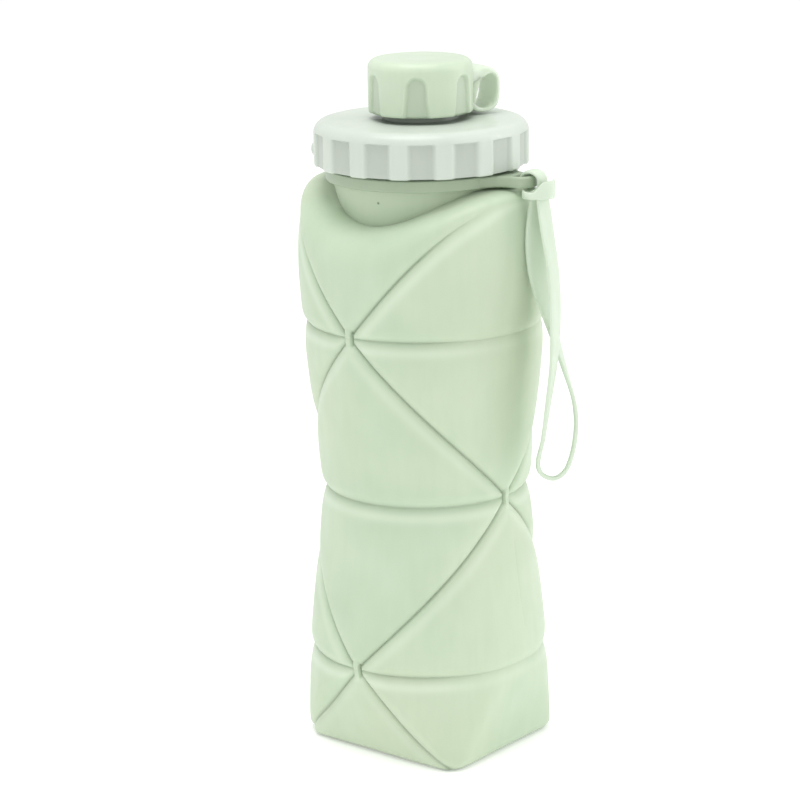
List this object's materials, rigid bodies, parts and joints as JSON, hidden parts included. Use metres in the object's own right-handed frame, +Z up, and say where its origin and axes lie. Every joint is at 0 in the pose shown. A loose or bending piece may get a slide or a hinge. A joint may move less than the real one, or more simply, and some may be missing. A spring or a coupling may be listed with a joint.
{
  "type": "folding water bottle",
  "caption": "Collapsible silicone water bottle with creased twisting panels, a fluted screw lid, a small screw spout cap with a carry loop, and a hanging wrist strap on a neck ring.",
  "frame": {"origin": "centre of the flat foot the bottle stands on", "axes": "+Z up along the bottle's axis; -Y is the front panel with the upper and lower crease nodes; +X is the side panel with the middle node, and the strap hangs near it"},
  "size_m": [0.0966, 0.0814, 0.23],
  "materials": {
    "silicone_body": "matte soft silicone, pale sage green",
    "hard_plastic": "fine satin polypropylene, paler and slightly bluish green",
    "cap_plastic": "fine satin polypropylene, pale sage green",
    "seal_silicone": "translucent milky silicone seal",
    "strap_silicone": "smooth satin silicone band, pale sage green"
  },
  "bodies": {
    "base": {"base_tier": "silicone_body"},
    "lower_fold": {"lower_tier": "silicone_body"},
    "upper_fold": {"upper_tier": "silicone_body"},
    "neck": {"shoulder_tier": "silicone_body", "neck_insert": "hard_plastic"},
    "ring": {"strap_ring": "strap_silicone"},
    "strap": {"strap_hitch": "strap_silicone", "strap_loop": "strap_silicone"},
    "lid_seal": {"lid_gasket": "seal_silicone"},
    "lid": {"lid": "hard_plastic"},
    "cap_seal": {"cap_gasket": "seal_silicone"},
    "cap": {"cap": "cap_plastic"}
  },
  "joints": [
    {"name": "collapse", "type": "slide", "parent": "base", "child": "neck", "axis": [0, 0, -1], "range_m": [0, 0.105]},
    {"name": "lower_squeeze", "type": "slide", "parent": "base", "child": "lower_fold", "axis": [0, 0, -1], "range_m": [0, 0.0295], "deforming": ["lower_tier"]},
    {"name": "upper_squeeze", "type": "slide", "parent": "base", "child": "upper_fold", "axis": [0, 0, -1], "range_m": [0, 0.0631], "deforming": ["upper_tier"]},
    {"name": "strap_turn", "type": "hinge", "parent": "neck", "child": "ring", "pos_m": [0, 0, 0.19315], "axis": [0, 0, 1], "continuous": true},
    {"name": "strap_swing", "type": "hinge", "parent": "ring", "child": "strap", "pos_m": [0.04179, 0.00366, 0.19315], "axis": [0.0872, -0.9962, 0], "range_deg": [0, 100]},
    {"name": "lid_lift", "type": "slide", "parent": "neck", "child": "lid_seal", "axis": [0, 0, 1], "range_m": [0, 0.01281]},
    {"name": "lid_turn", "type": "hinge", "parent": "lid_seal", "child": "lid", "pos_m": [0, 0, 0.2], "axis": [0, 0, 1], "range_deg": [0, 720]},
    {"name": "cap_lift", "type": "slide", "parent": "lid", "child": "cap_seal", "axis": [0, 0, 1], "range_m": [0, 0.01281]},
    {"name": "cap_turn", "type": "hinge", "parent": "cap_seal", "child": "cap", "pos_m": [0, 0, 0.22], "axis": [0, 0, 1], "range_deg": [0, 720]}
  ],
  "couplings": [
    {"joint": "lower_squeeze", "follows": "collapse", "ratio": 0.28},
    {"joint": "upper_squeeze", "follows": "collapse", "ratio": 0.6},
    {"joint": "lid_lift", "follows": "lid_turn", "m_per_rad": 0.0010186},
    {"joint": "cap_lift", "follows": "cap_turn", "m_per_rad": 0.0010186}
  ]
}
